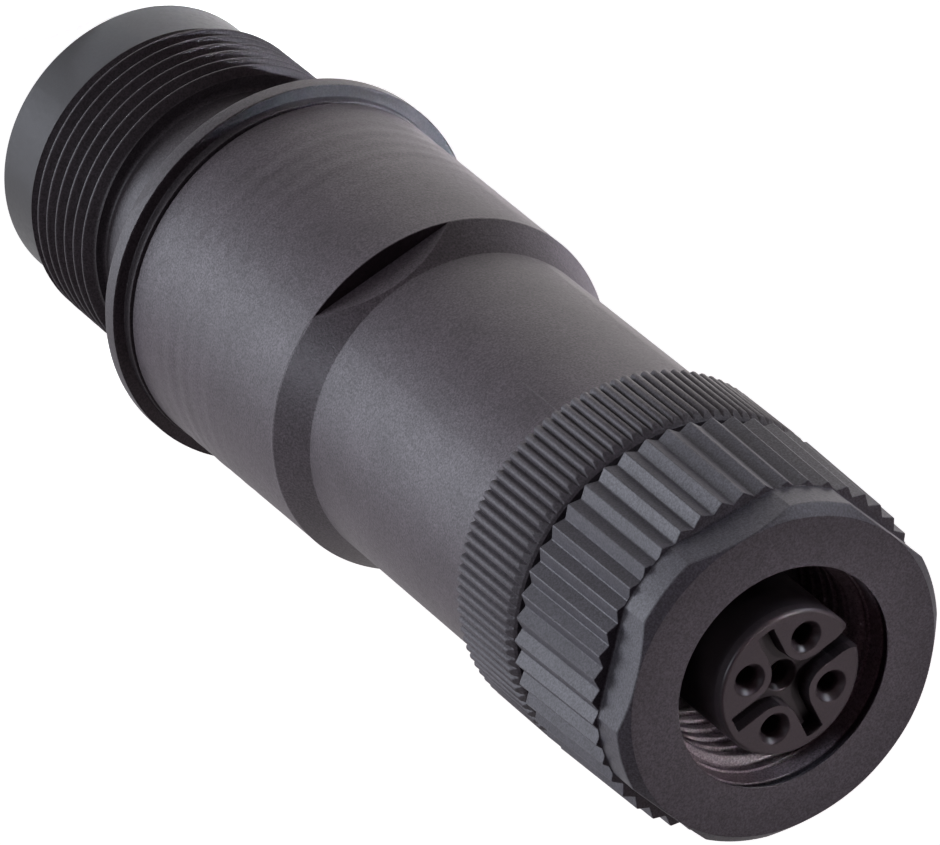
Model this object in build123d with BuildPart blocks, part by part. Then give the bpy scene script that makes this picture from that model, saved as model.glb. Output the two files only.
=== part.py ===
# A straight five-pole M12 cable socket with a free-turning coupling nut.
# The axis is Z. The cable end stands on Z = 0 and the socket face looks up.
from build123d import *
import math
import os

os.makedirs("parts", exist_ok=True)

# Lengths along the axis, from the cable end to the socket face
tail_length = 3.75
rear_thread_length = 7.0
neck_length = 5.6
flange_thickness = 1.0
shoulder_length = 0.55
parting_gap = 0.12
grip_length = 14.93
cone_length = 1.95
front_length = 16.3
rib_length = 4.9
collar_lip_length = 0.45
nut_gap = 0.45
flute_length = 7.1
hex_length = 2.3
face_stand = 0.6

# Clearances and small edges
slip = 0.05
seat_gap = 0.1
edge_break = 0.15
overrun = 1.0

# Threads, as rings of the right pitch and depth
thread_pitch = 1.0
thread_depth = 0.58
crest_flat_share = 0.125
root_flat_share = 0.25

# Counts and angles about the axis
flute_count = 48
rib_count = 102
hex_sides = 6
nut_turn = -7.5
key_angle = 182.0
outer_contact_count = 4
contact_turn = 180.0 / outer_contact_count
snap_ring_opening = 40.0

# One rib of the collar: shares of a pitch round the axis, and of the rib's height
rib_profile_shares = ((0.0, 0.0), (0.25, 0.5), (0.38, 1.0), (0.62, 1.0), (0.75, 0.5))

# Contact holes and contacts, from the pin's size outwards
pin_circle_radius = 2.5
pin_hole_radius = 0.55
hole_mouth_flare = 0.3
hole_mouth_radius = pin_hole_radius + hole_mouth_flare
hole_mouth_depth = 0.42
contact_wall = 0.29
contact_radius = pin_hole_radius + contact_wall
spring_wall = 0.1
cavity_slip = 0.06
cavity_radius = contact_radius + spring_wall + cavity_slip
socket_depth = 6.0
spring_length = 4.0
slit_width = 0.18
slit_length = 5.0
front_wall = 2.0

# Coding face of the contact carrier
insert_rim = 1.5
insert_radius = pin_circle_radius + insert_rim
face_chamfer = 0.25
recess_depth = 0.9
lobe_rim = 0.46
lobe_radius = hole_mouth_radius + lobe_rim
slot_width = 0.88
slot_end_wall = 0.55
slot_reach = insert_radius - slot_end_wall
key_width = 1.5
key_mouth_length = 0.75
key_depth = 6.0

# Journal of the carrier, on which the nut turns, and its flange
journal_step = 0.6
journal_radius = insert_radius + journal_step
journal_land = 0.25
carrier_flange_step = 1.6
carrier_flange_radius = journal_radius + carrier_flange_step
carrier_flange_length = 6.4
interface_seal_thickness = 1.1
snap_ring_thickness = 0.6
snap_ring_depth = 0.35
snap_ring_stand = 0.5

# Nut bore, from the journal outwards
nut_thread_gap = 0.85
nut_thread_radius = journal_radius + nut_thread_gap
nut_thread_step = 0.55
bore_radius = nut_thread_radius + nut_thread_step
bore_lip = 0.12
undercut_depth = 0.3
undercut_length = 0.42
pilot_length = 1.75
nut_web = 1.0

# Collar and the front of the housing, from the carrier's flange outwards
collar_spigot_wall = 1.65
collar_spigot_radius = carrier_flange_radius + collar_spigot_wall
collar_spigot_length = 5.7
collar_seal_thickness = 0.9
collar_web = 2.05
front_wall_over_spigot = 1.03
front_radius = collar_spigot_radius + front_wall_over_spigot
rib_stand = 0.84
rib_crest_radius = front_radius + rib_stand
rib_depth = 0.27

# Outside of the nut, which stands a little over the ribs
nut_stand = 0.06
nut_rear_radius = rib_crest_radius + nut_stand
nut_taper = 0.2
nut_front_radius = nut_rear_radius - nut_taper
flute_depth = 0.42
hex_step = 0.34
hex_corner_radius = nut_front_radius - hex_step
hex_flat_drop = 0.49
hex_flat_distance = hex_corner_radius - hex_flat_drop
nut_face_drop = 0.52
nut_face_radius = hex_corner_radius - nut_face_drop

# Housing, its wrench flats and its chamber
chamber_wall = 1.28
chamber_radius = front_radius - chamber_wall
cone_rise = 1.1
grip_front_radius = front_radius + cone_rise
grip_taper = 0.14
grip_rear_radius = grip_front_radius + grip_taper
flat_stand = 0.11
flat_distance = front_radius + flat_stand

# Spigot, shoulder and flange of the threaded bushing
grip_wall_over_spigot = 1.08
bushing_spigot_radius = grip_front_radius - grip_wall_over_spigot
bushing_spigot_length = 6.1
bushing_spigot_wall = 1.6
bushing_seal_thickness = 1.2
shoulder_stand = 0.08
shoulder_radius = grip_rear_radius + shoulder_stand
flange_stand = 0.66
flange_radius = shoulder_radius + flange_stand

# Cable gland and rear thread, from the cable outwards
cable_radius = 4.2
gland_thickness = 2.7
gland_radius = cable_radius + gland_thickness
neck_wall = 0.9
neck_radius = gland_radius + neck_wall
gland_wall = 1.4
rear_crest_radius = gland_radius + gland_wall + thread_depth
tail_drop = 0.55
tail_radius = rear_crest_radius - tail_drop
sleeve_bore_step = 0.25
sleeve_bore_radius = cable_radius + sleeve_bore_step
sleeve_spigot_length = 3.25
washer_thickness = 0.5
cable_seal_length = 8.0
gland_shoulder_gap = 0.3
seal_groove_depth = 0.35
seal_groove_count = 3

# Wire clamps, terminal block and clamp screws
clamp_radius = 1.15
clamp_wall = 0.4
wire_hole_radius = clamp_radius - clamp_wall
clamp_length = 8.5
centre_clamp_drop = 9.0
block_radius = carrier_flange_radius - seat_gap
block_gap = 0.3
block_tail = 2.0
screw_radius = 0.95
screw_recess = 0.2
screw_length = block_radius - pin_circle_radius - clamp_radius - slip - screw_recess
screw_slot_width = 0.35
screw_slot_depth = 0.45
screw_height_share = 0.45

# Heights of the steps along the axis
z_thread = tail_length
z_neck = z_thread + rear_thread_length
z_flange = z_neck + neck_length
z_shoulder = z_flange + flange_thickness
z_bushing_top = z_shoulder + shoulder_length
z_shell = z_bushing_top + parting_gap
z_cone = z_shell + grip_length
z_front = z_cone + cone_length
z_collar = z_front + front_length
z_rib_top = z_collar + rib_length
z_collar_top = z_rib_top + collar_lip_length
z_nut = z_collar_top + nut_gap
z_hex = z_nut + flute_length
z_nut_top = z_hex + hex_length
z_face = z_nut_top + face_stand
z_ring = z_nut + nut_web + seat_gap
z_ring_top = z_ring + snap_ring_thickness + slip
z_seat = z_ring_top + journal_land
z_web = z_collar_top - collar_web
z_flange_top = z_web - slip
z_carrier = z_flange_top - carrier_flange_length
z_block_top = z_carrier - block_gap
z_clamp = z_block_top - clamp_length
z_centre_clamp = z_clamp - centre_clamp_drop
z_block = z_centre_clamp - block_tail
z_spigot = z_collar - collar_spigot_length
z_bushing_spigot_top = z_bushing_top + bushing_spigot_length
z_washer = z_thread + sleeve_spigot_length
z_cable_seal = z_washer + washer_thickness
z_gland_shoulder = z_cable_seal + cable_seal_length + gland_shoulder_gap


def turned(outline):
    """A solid of revolution about Z from a closed outline of (radius, height) points."""
    with BuildPart() as body:
        with BuildSketch(Plane.XZ):
            with BuildLine():
                Polyline(*outline, close=True)
            make_face()
        revolve(axis=Axis.Z)
    return body


def thread_outline(base, length, crest, root):
    """Outline points of ring threads that rise from base between a crest and a root radius."""
    turns = max(1, round(length / thread_pitch))
    pitch = length / turns
    crest_half = pitch * crest_flat_share / 2
    root_half = pitch * root_flat_share / 2
    points = []
    for turn in range(turns):
        foot = base + turn * pitch
        points.append((root, foot + root_half))
        points.append((crest, foot + pitch / 2 - crest_half))
        points.append((crest, foot + pitch / 2 + crest_half))
        points.append((root, foot + pitch - root_half))
    return points


def star_points(count, crest, valley, turn):
    """Corners of a closed V-fluted outline with its crests and valleys in turn."""
    points = []
    for index in range(2 * count):
        angle = math.radians(turn + index * 180.0 / count)
        radius = crest if index % 2 == 0 else valley
        points.append((radius * math.cos(angle), radius * math.sin(angle)))
    return points


def rib_points(count, crest, valley):
    """Corners of a closed outline of round-topped ribs with V valleys."""
    points = []
    step = 360.0 / count
    for index in range(count):
        for turn_share, height_share in rib_profile_shares:
            angle = math.radians((index + turn_share) * step)
            radius = valley + height_share * (crest - valley)
            points.append((radius * math.cos(angle), radius * math.sin(angle)))
    return points


def outer_contact_places():
    """Places of the four contacts round the centre one, half-way between keyway and slots."""
    return PolarLocations(pin_circle_radius, outer_contact_count, start_angle=key_angle + contact_turn)


def o_ring(height, inner_radius, thickness):
    """A round-section seal that starts at a height and an inner radius."""
    with BuildPart() as ring:
        with BuildSketch(Plane.XZ):
            with Locations((inner_radius + thickness / 2, height + thickness / 2)):
                Circle(thickness / 2)
        revolve(axis=Axis.Z)
    return ring


def make_thrust_sleeve():
    """The smooth end piece: a head of thread-root size and a spigot that pushes on the gland."""
    return turned([
        (sleeve_bore_radius, 0),
        (tail_radius - edge_break, 0),
        (tail_radius, edge_break),
        (tail_radius, tail_length),
        (gland_radius - slip, tail_length),
        (gland_radius - slip, z_washer),
        (sleeve_bore_radius, z_washer),
    ])


def make_seal_washer():
    """A thin slip washer between thrust sleeve and gland."""
    return turned([
        (cable_radius, z_washer),
        (gland_radius - slip, z_washer),
        (gland_radius - slip, z_cable_seal),
        (cable_radius, z_cable_seal),
    ])


def make_cable_seal():
    """The rubber gland, with shallow grooves round its outside."""
    radius = gland_radius - slip
    top = z_cable_seal + cable_seal_length
    spaces = 2 * seal_groove_count + 1
    step = cable_seal_length / spaces
    outline = [(cable_radius, z_cable_seal), (radius, z_cable_seal)]
    for index in range(seal_groove_count):
        low = z_cable_seal + (2 * index + 1) * step
        outline.append((radius, low))
        outline.append((radius - seal_groove_depth, low))
        outline.append((radius - seal_groove_depth, low + step))
        outline.append((radius, low + step))
    outline.append((radius, top))
    outline.append((cable_radius, top))
    return turned(outline)


def make_threaded_bushing():
    """Rear thread, neck, flange and shoulder, with a spigot that screws into the housing."""
    groove_root = bushing_spigot_radius - bushing_seal_thickness
    groove_low = z_bushing_top + bushing_seal_thickness
    groove_high = groove_low + bushing_seal_thickness + 2 * seat_gap
    spigot_bore = bushing_spigot_radius - bushing_spigot_wall
    outline = [(gland_radius, z_thread), (rear_crest_radius - thread_depth, z_thread)]
    outline += thread_outline(
        z_thread, rear_thread_length, rear_crest_radius, rear_crest_radius - thread_depth)
    outline += [
        (rear_crest_radius - thread_depth, z_neck),
        (neck_radius, z_neck),
        (neck_radius, z_flange),
        (flange_radius - edge_break, z_flange),
        (flange_radius, z_flange + edge_break),
        (flange_radius, z_shoulder - edge_break),
        (flange_radius - edge_break, z_shoulder),
        (shoulder_radius, z_shoulder),
        (shoulder_radius, z_bushing_top),
        (bushing_spigot_radius, z_bushing_top),
        (bushing_spigot_radius, groove_low),
        (groove_root, groove_low),
        (groove_root, groove_high),
        (bushing_spigot_radius, groove_high),
        (bushing_spigot_radius, z_bushing_spigot_top - edge_break),
        (bushing_spigot_radius - edge_break, z_bushing_spigot_top),
        (spigot_bore, z_bushing_spigot_top),
        (spigot_bore, z_bushing_top + seat_gap),
        (cable_radius, z_bushing_top + seat_gap),
        (cable_radius, z_gland_shoulder),
        (gland_radius, z_gland_shoulder),
    ]
    return turned(outline)


def make_body_shell():
    """The long housing, with its chamber for the wiring and two wrench flats on the cone."""
    rear_bore = bushing_spigot_radius + slip
    front_bore = collar_spigot_radius + slip
    outline = [
        (rear_bore, z_shell),
        (grip_rear_radius - edge_break, z_shell),
        (grip_rear_radius, z_shell + edge_break),
        (grip_front_radius, z_cone),
        (front_radius, z_front),
        (front_radius, z_collar - seat_gap),
        (front_bore, z_collar - seat_gap),
        (front_bore, z_spigot - seat_gap),
        (chamber_radius, z_spigot - seat_gap),
        (chamber_radius, z_bushing_spigot_top + seat_gap),
        (rear_bore, z_bushing_spigot_top + seat_gap),
    ]
    shell = turned(outline)
    flat_cut = grip_front_radius + overrun - flat_distance
    with BuildPart() as body_shell:
        add(shell.part)
        with BuildSketch(Plane.XY.offset(z_cone)):
            for side in (1, -1):
                with Locations((0, side * (flat_distance + flat_cut / 2))):
                    Rectangle(2 * grip_rear_radius, flat_cut)
        extrude(amount=cone_length, mode=Mode.SUBTRACT)
    return body_shell


def make_knurled_collar():
    """The fine-ribbed ring with a smooth front lip, and the spigot that screws into the housing."""
    valley = rib_crest_radius - rib_depth
    groove_root = collar_spigot_radius - collar_seal_thickness
    groove_low = z_collar - collar_seal_thickness - 3 * seat_gap
    groove_high = z_collar - seat_gap
    spigot_bore = carrier_flange_radius + slip
    core = turned([
        (spigot_bore, z_spigot),
        (collar_spigot_radius - edge_break, z_spigot),
        (collar_spigot_radius, z_spigot + edge_break),
        (collar_spigot_radius, groove_low),
        (groove_root, groove_low),
        (groove_root, groove_high),
        (collar_spigot_radius, groove_high),
        (collar_spigot_radius, z_collar),
        (valley, z_collar),
        (valley, z_collar_top - edge_break),
        (valley - edge_break, z_collar_top),
        (journal_radius + slip, z_collar_top),
        (journal_radius + slip, z_web),
        (spigot_bore, z_web),
    ])
    chamfer_cone = turned([
        (valley - overrun, z_collar),
        (rib_crest_radius + overrun, z_collar),
        (rib_crest_radius + overrun, z_rib_top - rib_depth - overrun),
        (valley, z_rib_top),
        (valley - overrun, z_rib_top),
    ])
    with BuildPart() as ribs:
        with BuildSketch(Plane.XY.offset(z_collar)):
            with BuildLine():
                Polyline(*rib_points(rib_count, rib_crest_radius, valley), close=True)
            make_face()
            Circle(valley - edge_break, mode=Mode.SUBTRACT)
        extrude(amount=rib_length)
        add(chamfer_cone.part, mode=Mode.INTERSECT)
    with BuildPart() as knurled_collar:
        add(core.part)
        add(ribs.part)
    return knurled_collar


def make_nut_flutes():
    """The V-fluted barrel of the nut, a little smaller at its front."""
    with BuildPart() as barrel:
        with BuildSketch(Plane.XY.offset(z_nut)):
            with BuildLine():
                Polyline(*star_points(flute_count, nut_rear_radius, nut_rear_radius - flute_depth, nut_turn),
                         close=True)
            make_face()
        with BuildSketch(Plane.XY.offset(z_hex)):
            with BuildLine():
                Polyline(*star_points(flute_count, nut_front_radius, nut_front_radius - flute_depth, nut_turn),
                         close=True)
            make_face()
        loft(ruled=True)
    return barrel


def make_nut_hexagon():
    """The hexagon in front of the flutes, with turned corners and a chamfered front."""
    front_cone = turned([
        (0, z_hex),
        (hex_corner_radius, z_hex),
        (hex_corner_radius, z_nut_top - (hex_corner_radius - nut_face_radius)),
        (nut_face_radius, z_nut_top),
        (0, z_nut_top),
    ])
    with BuildPart() as hexagon:
        with BuildSketch(Plane.XY.offset(z_hex)):
            RegularPolygon(hex_flat_distance, hex_sides, major_radius=False, rotation=nut_turn)
        extrude(amount=hex_length)
        add(front_cone.part, mode=Mode.INTERSECT)
    return hexagon


def make_nut_bore():
    """The space inside the nut: rim, undercut, smooth lead-in, M12 thread and the web's hole."""
    undercut_top = z_nut_top - bore_lip
    undercut_low = undercut_top - undercut_length
    pilot_low = undercut_low - pilot_length
    web_top = z_nut + nut_web
    thread_root = nut_thread_radius + thread_depth
    teeth = thread_outline(web_top + seat_gap, pilot_low - web_top - seat_gap, nut_thread_radius, thread_root)
    outline = [
        (0, z_nut - overrun),
        (journal_radius + slip, z_nut - overrun),
        (journal_radius + slip, web_top),
        (thread_root, web_top),
    ]
    outline += teeth
    outline += [
        (thread_root, pilot_low),
        (bore_radius, pilot_low),
        (bore_radius, undercut_low),
        (bore_radius + undercut_depth, undercut_low),
        (bore_radius + undercut_depth, undercut_top),
        (bore_radius, undercut_top),
        (bore_radius, z_nut_top + overrun),
        (0, z_nut_top + overrun),
    ]
    return turned(outline)


def make_coupling_nut():
    """The coupling nut: fluted barrel and hexagon in one, bored for the carrier."""
    barrel = make_nut_flutes()
    hexagon = make_nut_hexagon()
    bore = make_nut_bore()
    with BuildPart() as coupling_nut:
        add(barrel.part)
        add(hexagon.part)
        add(bore.part, mode=Mode.SUBTRACT)
    return coupling_nut


def make_carrier_barrel():
    """The turned outside of the contact carrier, with the snap-ring groove."""
    groove_root = journal_radius - snap_ring_depth
    return turned([
        (0, z_carrier),
        (carrier_flange_radius, z_carrier),
        (carrier_flange_radius, z_flange_top),
        (journal_radius, z_flange_top),
        (journal_radius, z_ring),
        (groove_root, z_ring),
        (groove_root, z_ring_top),
        (journal_radius, z_ring_top),
        (journal_radius, z_seat),
        (insert_radius, z_seat),
        (insert_radius, z_face - face_chamfer),
        (insert_radius - face_chamfer, z_face),
        (0, z_face),
    ])


def make_face_recess():
    """The recess between the lobes: a middle field, three closed slots and the slot to the keyway."""
    middle_radius = pin_circle_radius * math.sqrt(0.5)
    with BuildPart() as recess:
        with BuildSketch(Plane.XY.offset(z_face - recess_depth)):
            Circle(middle_radius)
            with outer_contact_places():
                Circle(lobe_radius, mode=Mode.SUBTRACT)
            with PolarLocations(slot_reach / 2, outer_contact_count, start_angle=key_angle):
                Rectangle(slot_reach, slot_width)
        extrude(amount=recess_depth + overrun)
        with BuildSketch(Plane.XY.offset(z_face - key_depth)):
            with PolarLocations(insert_radius, 1, start_angle=key_angle):
                Rectangle(2 * (insert_radius - pin_circle_radius), slot_width)
                Rectangle(2 * key_mouth_length, key_width)
        extrude(amount=key_depth + overrun)
    return recess


def hole_through(top, cavity_top):
    """One contact hole below a mouth at the given height, for a builder that is open."""
    with Locations((0, 0, top)):
        Cone(pin_hole_radius, hole_mouth_radius, hole_mouth_depth, align=(Align.CENTER, Align.CENTER, Align.MAX))
    with Locations((0, 0, z_carrier)):
        Cylinder(pin_hole_radius, top - z_carrier, align=(Align.CENTER, Align.CENTER, Align.MIN))
    with Locations((0, 0, z_carrier - overrun)):
        Cylinder(cavity_radius, cavity_top - z_carrier + overrun, align=(Align.CENTER, Align.CENTER, Align.MIN))


def make_contact_holes():
    """The five contact holes: a wide mouth, a pin-sized throat and a cavity from behind."""
    cavity_top = z_face - front_wall
    with BuildPart() as holes:
        with outer_contact_places():
            hole_through(z_face, cavity_top)
        with Locations((0, 0)):
            hole_through(z_face - recess_depth, cavity_top)
    return holes


def make_contact_carrier():
    """The insert with its coding face, journal for the nut and flange under the collar."""
    barrel = make_carrier_barrel()
    recess = make_face_recess()
    holes = make_contact_holes()
    with BuildPart() as contact_carrier:
        add(barrel.part)
        add(recess.part, mode=Mode.SUBTRACT)
        add(holes.part, mode=Mode.SUBTRACT)
    return contact_carrier


def make_snap_ring():
    """The split ring in the journal's groove, just in front of the nut's web."""
    inner = journal_radius - snap_ring_depth + slip
    outer = journal_radius + snap_ring_stand
    with BuildPart() as nut_snap_ring:
        with BuildSketch(Plane.XY.offset(z_ring)):
            Circle(outer)
            Circle(inner, mode=Mode.SUBTRACT)
            with BuildLine():
                reach = outer + overrun
                half = math.radians(snap_ring_opening / 2)
                Polyline((0, 0), (reach * math.cos(half), reach * math.sin(half)),
                         (reach * math.cos(half), -reach * math.sin(half)), close=True)
            make_face(mode=Mode.SUBTRACT)
        extrude(amount=snap_ring_thickness)
    return nut_snap_ring


def contact_axes():
    """Centre points of the contacts: four round the centre one, then the centre one."""
    places = []
    for index in range(outer_contact_count):
        angle = math.radians(key_angle + contact_turn + index * 360.0 / outer_contact_count)
        places.append((pin_circle_radius * math.cos(angle), pin_circle_radius * math.sin(angle)))
    places.append((0, 0))
    return places


def clamp_height(place):
    """Lower end of the wire clamp of the contact at a place: the centre one hangs lower."""
    return z_centre_clamp if place == (0, 0) else z_clamp


def screw_direction(place):
    """Unit direction from a clamp out to its screw."""
    angle = math.radians(key_angle) if place == (0, 0) else math.atan2(place[1], place[0])
    return math.cos(angle), math.sin(angle)


def screw_plane(place, distance):
    """Plane across a clamp screw at a distance out from its contact's axis."""
    across = screw_direction(place)
    height = clamp_height(place) + clamp_length * screw_height_share
    origin = (place[0] + across[0] * distance, place[1] + across[1] * distance, height)
    return Plane(origin=origin, x_dir=(-across[1], across[0], 0), z_dir=(across[0], across[1], 0))


def make_contact(place):
    """One socket contact with a slit end in front and a wire clamp behind."""
    top = z_face - front_wall - seat_gap
    low = clamp_height(place)
    with BuildPart() as contact:
        with BuildSketch(Plane.XY.offset(low)):
            with Locations(place):
                Circle(clamp_radius)
        extrude(amount=clamp_length)
        with BuildSketch(Plane.XY.offset(low + clamp_length)):
            with Locations(place):
                Circle(contact_radius)
        extrude(amount=top - low - clamp_length)
        with BuildSketch(Plane.XY.offset(top - socket_depth)):
            with Locations(place):
                Circle(pin_hole_radius)
        extrude(amount=socket_depth + overrun, mode=Mode.SUBTRACT)
        with BuildSketch(Plane.XY.offset(top - slit_length)):
            with Locations(place):
                Rectangle(4 * contact_radius, slit_width)
        extrude(amount=slit_length + overrun, mode=Mode.SUBTRACT)
        with BuildSketch(Plane.XY.offset(low - overrun)):
            with Locations(place):
                Circle(wire_hole_radius)
        extrude(amount=clamp_length / 2 + overrun, mode=Mode.SUBTRACT)
    return contact


def make_contact_springs():
    """The spring sleeves over the slit ends of the contacts."""
    low = z_face - front_wall - seat_gap - spring_length
    with BuildPart() as contact_springs:
        with BuildSketch(Plane.XY.offset(low)):
            with Locations(*contact_axes()):
                Circle(contact_radius + spring_wall)
            with Locations(*contact_axes()):
                Circle(contact_radius, mode=Mode.SUBTRACT)
        extrude(amount=spring_length)
    return contact_springs


def make_terminal_block():
    """The insulator round the wire clamps, with a radial hole over each clamp screw."""
    with BuildPart() as terminal_block:
        with BuildSketch(Plane.XY.offset(z_block)):
            Circle(block_radius)
        extrude(amount=z_block_top - z_block)
        for place in contact_axes():
            with BuildSketch(Plane.XY.offset(clamp_height(place) - seat_gap)):
                with Locations(place):
                    Circle(clamp_radius + slip)
            extrude(amount=z_block_top - clamp_height(place) + seat_gap + overrun, mode=Mode.SUBTRACT)
            with BuildSketch(Plane.XY.offset(z_block - overrun)):
                with Locations(place):
                    Circle(wire_hole_radius)
            extrude(amount=clamp_height(place) - z_block + overrun, mode=Mode.SUBTRACT)
            with BuildSketch(screw_plane(place, clamp_radius)):
                Circle(screw_radius + slip)
            extrude(amount=block_radius, mode=Mode.SUBTRACT)
    return terminal_block


def make_terminal_screws():
    """The slotted clamp screws, each pointing in at its contact."""
    with BuildPart() as terminal_screws:
        for place in contact_axes():
            head = clamp_radius + slip + screw_length
            with BuildSketch(screw_plane(place, clamp_radius + slip)):
                Circle(screw_radius)
            extrude(amount=screw_length)
            with BuildSketch(screw_plane(place, head - screw_slot_depth)):
                Rectangle(4 * screw_radius, screw_slot_width)
            extrude(amount=screw_slot_depth + overrun, mode=Mode.SUBTRACT)
    return terminal_screws


def make_seals():
    """The three O-rings: at the insert's foot, on the collar's spigot and on the bushing's spigot."""
    collar_seal_low = z_collar - collar_seal_thickness - 2 * seat_gap
    bushing_seal_low = z_bushing_top + bushing_seal_thickness + seat_gap
    return {
        "interface_seal": o_ring(z_seat, insert_radius, interface_seal_thickness),
        "collar_seal": o_ring(
            collar_seal_low, collar_spigot_radius - collar_seal_thickness, collar_seal_thickness),
        "bushing_seal": o_ring(
            bushing_seal_low, bushing_spigot_radius - bushing_seal_thickness, bushing_seal_thickness),
    }


pieces = {
    "thrust_sleeve": make_thrust_sleeve(),
    "seal_washer": make_seal_washer(),
    "cable_seal": make_cable_seal(),
    "threaded_bushing": make_threaded_bushing(),
    "body_shell": make_body_shell(),
    "knurled_collar": make_knurled_collar(),
    "contact_carrier": make_contact_carrier(),
    "nut_snap_ring": make_snap_ring(),
    "coupling_nut": make_coupling_nut(),
    "contact_springs": make_contact_springs(),
    "terminal_block": make_terminal_block(),
    "terminal_screws": make_terminal_screws(),
}
pieces.update(make_seals())
for number, place in enumerate(contact_axes(), start=1):
    pieces[f"contact_{number}"] = make_contact(place)

for label, piece in pieces.items():
    piece.part.label = label
    export_step(piece.part, f"parts/{label}.step")
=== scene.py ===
import math

import bmesh
import bpy
import numpy as np
from mathutils import Euler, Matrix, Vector


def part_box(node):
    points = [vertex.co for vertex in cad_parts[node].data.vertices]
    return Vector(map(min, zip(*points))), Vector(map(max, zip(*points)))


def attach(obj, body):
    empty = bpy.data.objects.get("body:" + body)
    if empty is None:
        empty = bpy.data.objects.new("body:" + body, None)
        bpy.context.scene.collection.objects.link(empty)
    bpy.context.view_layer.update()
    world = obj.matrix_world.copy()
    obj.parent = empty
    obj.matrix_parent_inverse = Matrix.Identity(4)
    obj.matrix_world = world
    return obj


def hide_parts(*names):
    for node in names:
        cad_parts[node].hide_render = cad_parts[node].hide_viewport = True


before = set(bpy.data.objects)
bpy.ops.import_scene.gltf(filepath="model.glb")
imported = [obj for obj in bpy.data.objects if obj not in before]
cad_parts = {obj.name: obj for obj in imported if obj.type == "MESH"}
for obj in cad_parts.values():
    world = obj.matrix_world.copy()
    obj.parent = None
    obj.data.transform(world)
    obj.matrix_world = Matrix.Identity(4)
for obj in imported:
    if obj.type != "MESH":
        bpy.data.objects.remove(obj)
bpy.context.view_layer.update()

MM = 0.001


def span(node):
    """Lowest height, highest height and largest radius of a CAD node, in millimetres."""
    low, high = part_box(node)
    return low.z / MM, high.z / MM, max(high.x, high.y) / MM


# Heights and radii from the frame, in millimetres
tail_low, sleeve_top, tail_radius = span("thrust_sleeve")
thread_low, bushing_top, flange_radius = span("threaded_bushing")
shell_low, shell_top, grip_radius = span("body_shell")
spigot_low, collar_top, rib_radius = span("knurled_collar")
nut_low, nut_top, nut_radius = span("coupling_nut")
carrier_low, face_height, carrier_radius = span("contact_carrier")

# Rear thread, neck, flange and shoulder
thread_length = 7.0
thread_crest = 8.88
thread_depth = 0.58
thread_pitch = 1.0
thread_land_radius = 8.67
thread_start = 0.08
neck_length = 5.6
neck_radius = 7.8
flange_thickness = 1.0
shoulder_length = 0.55
shoulder_radius = 10.2
spigot_radius = 8.9
spigot_bore = 7.3
gland_radius = 6.9
gland_shoulder = 15.8
cable_radius = 4.2
sleeve_bore_radius = 4.45
tail_length = 3.75

# Housing
grip_length = 14.93
grip_front_radius = 9.98
cone_length = 1.95
front_radius = 8.88
flat_distance = 8.99
chamber_radius = 7.6
collar_spigot_radius = 7.85

# Collar
rib_count = 102
rib_turn = 2.0
rib_depth = 0.27
rib_length = 5.23
rib_lead = 0.42
lip_length = 0.12
collar_web = 2.05

# Nut
flute_count = 48
flute_depth = 0.42
flute_length = 7.1
nut_taper = 0.2
flute_turn = -9.4
hex_turn = -7.5
hex_corner_radius = 9.24
hex_flat_distance = 8.75
nut_face_radius = 8.72
bore_radius = 6.0
bore_lip = 0.12
undercut_depth = 0.3
undercut_length = 0.42
pilot_length = 1.05
nut_thread_crest = 5.45
nut_web = 1.0

# Insert
key_angle = 182.0
insert_radius = 4.0
seat_height = 59.0
journal_radius = 4.6
carrier_flange_top = 54.45
pin_circle_radius = 2.5
hole_radius = 0.56
mouth_radius = 0.86
mouth_depth = 0.42
hole_depth = 1.9
lobe_radius = 1.31
recess_depth = 0.9
slot_width = 0.88
slot_reach = 3.45
key_depth = 6.0
key_flare = 0.42
key_flare_length = 1.1

# Fits, gaps and soft edges that the pieces share
fit_gap = 0.05
end_gap = 0.1
soft_edge = 0.05

# Derived heights
thread_high = thread_low + thread_length
flange_low = thread_high + neck_length
flange_high = flange_low + flange_thickness
shoulder_high = flange_high + shoulder_length
cone_low = shell_low + grip_length
cone_high = cone_low + cone_length
collar_low = collar_top - lip_length - rib_length
hex_low = nut_low + flute_length


def circle_angles(count):
    """Evenly spaced angles of a full turn, in radians."""
    return [2 * math.pi * index / count for index in range(count)]


def fillet_points(before, corner, after, radius, steps):
    """Points of the arc that rounds one corner of an outline."""
    here = Vector(corner[:2])
    to_before = Vector(before[:2]) - here
    to_after = Vector(after[:2]) - here
    half = to_before.angle(to_after) / 2
    most = 0.49
    reach = min(radius / math.tan(half), most * to_before.length, most * to_after.length)
    radius = reach * math.tan(half)
    middle = (to_before.normalized() + to_after.normalized()).normalized()
    centre = here + middle * (radius / math.sin(half))
    start = here + to_before.normalized() * reach - centre
    end = here + to_after.normalized() * reach - centre
    turn = start.angle(end)
    points = []
    for step in range(steps + 1):
        share = step / steps
        arm = (start * math.sin((1 - share) * turn) + end * math.sin(share * turn)) / math.sin(turn)
        points.append((centre.x + arm.x, centre.y + arm.y))
    return points


def rounded(corners, steps=4, closed=False):
    """Outline of (radius, height) points from corners that may give a third number, their rounding."""
    points = []
    last = len(corners) - 1
    for index, corner in enumerate(corners):
        inner = closed or 0 < index < last
        if inner and len(corner) == 3:
            after = corners[(index + 1) % len(corners)]
            points += fillet_points(corners[index - 1], corner, after, corner[2], steps)
        else:
            points.append(tuple(corner[:2]))
    return points


def even_rings(outline, count):
    """Rings of an outline that is the same all round."""
    return [[point] * count for point in outline]


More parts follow.
